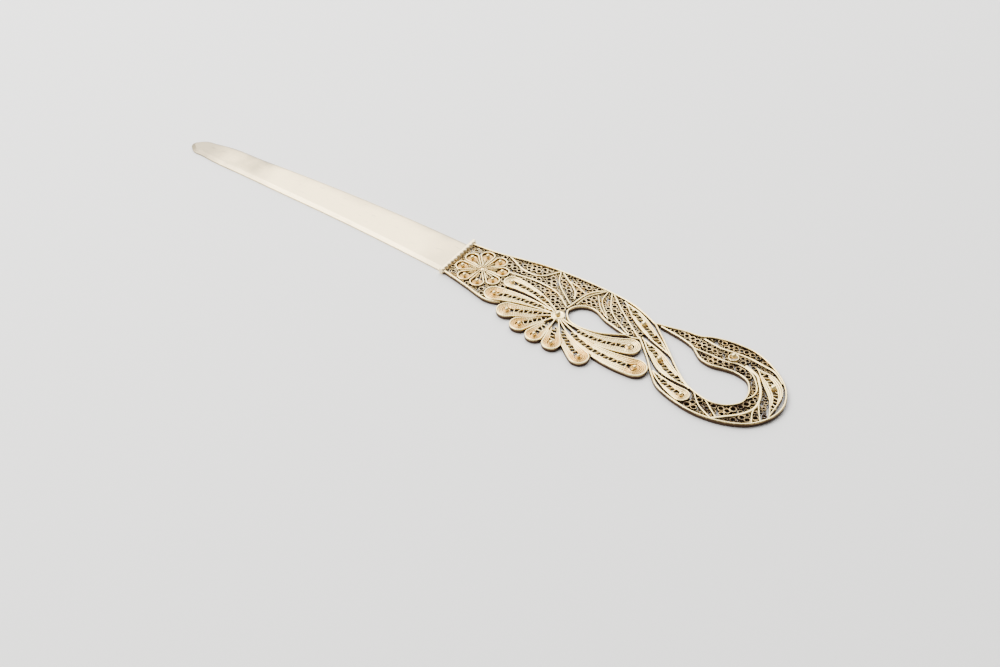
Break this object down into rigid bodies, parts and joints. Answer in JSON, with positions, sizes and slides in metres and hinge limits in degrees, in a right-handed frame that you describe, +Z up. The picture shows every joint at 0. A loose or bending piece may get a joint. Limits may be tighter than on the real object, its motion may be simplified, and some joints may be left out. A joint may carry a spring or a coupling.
{
  "type": "filigree letter opener",
  "caption": "Silver letter opener: plain sheet blade soldered into a toothed collar, with a flat openwork filigree handle shaped as a swan with a fan wing.",
  "frame": {"origin": "on the resting plane under the blade's root, where the blade meets the collar", "axes": "+X from the blade to the handle, +Y to the back of the opener, +Z up from the resting plane"},
  "size_m": [0.1824, 0.0278, 0.0021],
  "materials": {
    "blade_silver": "satin warm silver sheet, brighter along the bevelled edge",
    "frame_silver": "drawn silver strip, warm and lightly polished on top",
    "filling_silver": "twisted and flattened fine silver wire, brown tarnish in the recesses",
    "coil_silver": "flat wound fine wire with a peach tarnish",
    "bead_silver": "smooth round silver granule"
  },
  "bodies": {
    "root": {"back_frame": "frame_silver", "blade": "blade_silver", "body_lattice": "filling_silver", "body_ribs": "frame_silver", "collar": "frame_silver", "crest_leaf_frame": "frame_silver", "eye_bead": "bead_silver", "eye_dome": "coil_silver", "feather_1_dome": "coil_silver", "feather_1_frame": "frame_silver", "feather_2_dome": "coil_silver", "feather_2_frame": "frame_silver", "feather_3_dome": "coil_silver", "feather_3_frame": "frame_silver", "feather_4_dome": "coil_silver", "feather_4_frame": "frame_silver", "feather_5_dome": "coil_silver", "feather_5_frame": "frame_silver", "feather_6_dome": "coil_silver", "feather_6_frame": "frame_silver", "feather_7_dome": "coil_silver", "feather_7_frame": "frame_silver", "feather_8_dome": "coil_silver", "feather_8_frame": "frame_silver", "feather_9_dome": "coil_silver", "feather_9_frame": "frame_silver", "feather_ladders": "filling_silver", "head_lattice": "filling_silver", "head_ribs": "frame_silver", "leaf_bead_seats": "coil_silver", "leaf_beads": "bead_silver", "leaf_ladders": "filling_silver", "loop_inner_frame": "frame_silver", "loop_lattice": "filling_silver", "loop_outer_frame": "frame_silver", "loop_ribs": "frame_silver", "lower_neck_leaf_dome": "coil_silver", "lower_neck_leaf_frame": "frame_silver", "middle_neck_leaf_frame": "frame_silver", "petal_beads": "bead_silver", "petal_domes": "coil_silver", "petal_frames": "frame_silver", "rosette_centre": "frame_silver", "tail_corner_coils": "coil_silver", "tail_frame": "frame_silver", "upper_neck_leaf_frame": "frame_silver", "window_frame": "frame_silver", "wing_beads": "bead_silver", "wing_boss": "frame_silver"}
  },
  "joints": []
}
